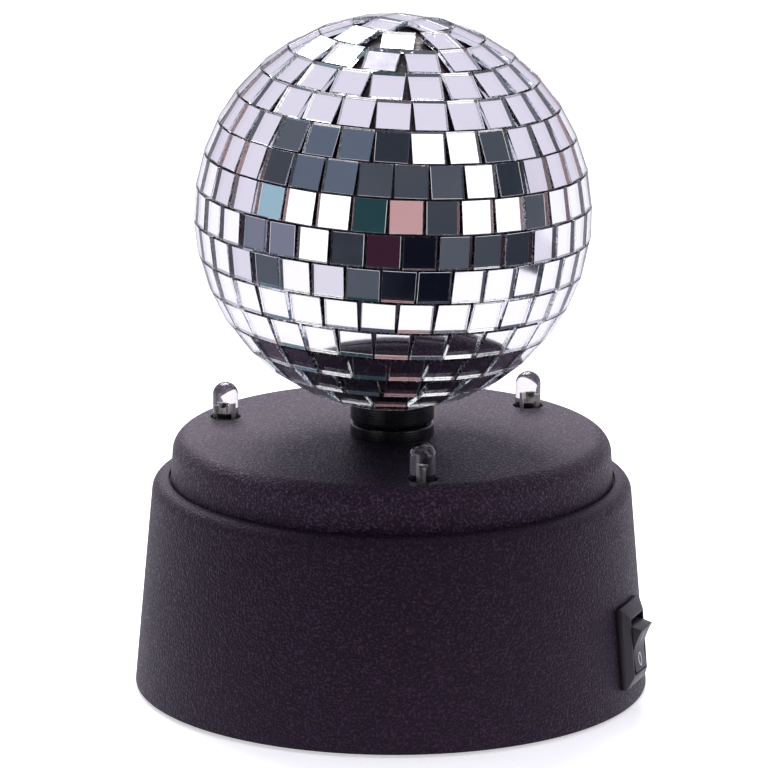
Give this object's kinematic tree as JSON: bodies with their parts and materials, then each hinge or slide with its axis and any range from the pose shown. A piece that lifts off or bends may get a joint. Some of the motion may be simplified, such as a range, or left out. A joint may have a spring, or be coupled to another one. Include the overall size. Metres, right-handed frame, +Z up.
{
  "type": "mirror ball",
  "caption": "Table-top mirror ball: a mirror-tiled ball turns on a short neck over a round black base with clear LEDs, a rocker switch and a battery tray.",
  "frame": {"origin": "on the ball's axle, at the plane that the rubber feet rest on", "axes": "+Z up along the ball's axle; -Y is the front, with the rocker switch on the right towards +X"},
  "size_m": [0.1, 0.0996, 0.1317],
  "materials": {
    "mirror_glass": "silvered float glass with clear cut edges",
    "core_plastic": "dark, glue-smeared",
    "neck_plastic": "black, semi-gloss",
    "grained_plastic": "black, spark-eroded grain",
    "steel": "ground",
    "white_plastic": "natural acetal",
    "screw_steel": "zinc plated",
    "can_steel": "nickel plated",
    "magnet": "ferrite",
    "laminations": "stacked laminations",
    "brass": "tinned",
    "bush_plastic": "acetal",
    "plate_plastic": "black, satin",
    "cell_sleeve": "printed sleeve with no marks",
    "contact_metal": "nickel plated",
    "foot_rubber": "matt",
    "led_epoxy": "water-clear epoxy",
    "lead_metal": "tinned",
    "board": "solder mask",
    "switch_plastic": "black, satin",
    "wire_sleeve": "insulation",
    "resistor": "lacquered"
  },
  "bodies": {
    "base": {"axle_bush": "bush_plastic", "base_housing": "grained_plastic", "battery_cells": "cell_sleeve", "battery_wires": "wire_sleeve", "bottom_plate": "plate_plastic", "contact_plates": "contact_metal", "contact_springs": "contact_metal", "cover_screws": "screw_steel", "gear_pins": "steel", "gearbox_case": "white_plastic", "gearbox_lid": "white_plastic", "gearbox_screws": "screw_steel", "led_boards": "board", "led_leads": "lead_metal", "led_lenses": "led_epoxy", "led_resistor": "resistor", "led_wires": "wire_sleeve", "motor_can": "can_steel", "motor_end_cap": "white_plastic", "motor_magnet": "magnet", "motor_screws": "screw_steel", "motor_terminals": "brass", "motor_wires": "wire_sleeve", "neck_ring": "neck_plastic", "plate_screws": "screw_steel", "rubber_feet": "foot_rubber", "switch_body": "switch_plastic", "switch_pin": "steel", "switch_terminals": "brass", "top_cover": "grained_plastic"},
    "ball": {"mirror_ring_01": "mirror_glass", "mirror_ring_02": "mirror_glass", "mirror_ring_03": "mirror_glass", "mirror_ring_04": "mirror_glass", "mirror_ring_05": "mirror_glass", "mirror_ring_06": "mirror_glass", "mirror_ring_07": "mirror_glass", "mirror_ring_08": "mirror_glass", "mirror_ring_09": "mirror_glass", "mirror_ring_10": "mirror_glass", "mirror_ring_11": "mirror_glass", "mirror_ring_12": "mirror_glass", "mirror_ring_13": "mirror_glass", "mirror_ring_14": "mirror_glass", "mirror_ring_15": "mirror_glass", "mirror_ring_16": "mirror_glass", "mirror_pole_tile": "mirror_glass", "core_upper": "core_plastic", "core_lower": "core_plastic", "ball_collar": "neck_plastic", "axle": "steel", "output_gear": "white_plastic"},
    "gear_high": {"compound_gear_high": "white_plastic"},
    "gear_low": {"compound_gear_low": "white_plastic"},
    "motor_rotor": {"motor_pinion": "white_plastic", "motor_shaft": "steel", "motor_armature": "laminations"},
    "rocker": {"switch_rocker": "switch_plastic"},
    "door": {"battery_door": "plate_plastic", "door_latch": "plate_plastic"}
  },
  "joints": [
    {"name": "ball_spin", "type": "hinge", "parent": "base", "child": "ball", "pos_m": [0, 0, 0.0936], "axis": [0, 0, 1], "continuous": true},
    {"name": "gear_high_spin", "type": "hinge", "parent": "base", "child": "gear_high", "pos_m": [0.014, 0, 0.041], "axis": [0, 0, 1], "continuous": true},
    {"name": "gear_low_spin", "type": "hinge", "parent": "base", "child": "gear_low", "pos_m": [0, 0, 0.039], "axis": [0, 0, 1], "continuous": true},
    {"name": "motor_spin", "type": "hinge", "parent": "base", "child": "motor_rotor", "pos_m": [-0.014, 0, 0.038], "axis": [0, 0, 1], "continuous": true},
    {"name": "rocker_tilt", "type": "hinge", "parent": "base", "child": "rocker", "pos_m": [0.04435, -0.01649, 0.01281], "axis": [0.3486, 0.9373, 0], "range_deg": [-22, 0]},
    {"name": "door_swing", "type": "hinge", "parent": "base", "child": "door", "pos_m": [0, -0.0264, 0.00195], "axis": [1, 0, 0], "range_deg": [-75, 0]}
  ],
  "couplings": [
    {"joint": "gear_high_spin", "follows": "ball_spin", "ratio": -6},
    {"joint": "gear_low_spin", "follows": "ball_spin", "ratio": 36},
    {"joint": "motor_spin", "follows": "ball_spin", "ratio": -216}
  ]
}
